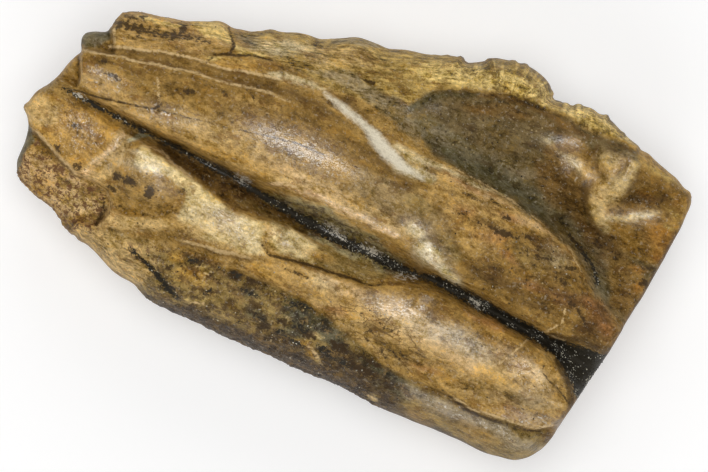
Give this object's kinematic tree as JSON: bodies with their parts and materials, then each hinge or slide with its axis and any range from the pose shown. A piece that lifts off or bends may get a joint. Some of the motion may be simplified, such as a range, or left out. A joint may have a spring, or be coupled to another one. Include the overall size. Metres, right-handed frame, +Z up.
{
  "type": "fossil triceratops tooth",
  "caption": "Fossil tooth lying with its ridged enamel face up: a long main lobe beside a dark seam, a hollow and a crenulated rim above, and a broken root end.",
  "frame": {"origin": "middle of the box's underside, on the plane the tooth rests on", "axes": "+X along the tooth, from the broken root end to the straight worn end; +Y across it, towards the crenulated margin; +Z up out of the ridged enamel face"},
  "size_m": [0.0324, 0.0188, 0.0115],
  "materials": {
    "fossil_enamel": "glossy mineralised enamel and dentine, mottled amber, tan and dark brown, with black sediment in the seams and a granular red-brown break at the root end"
  },
  "bodies": {
    "root": {"tooth": "fossil_enamel"}
  },
  "joints": []
}
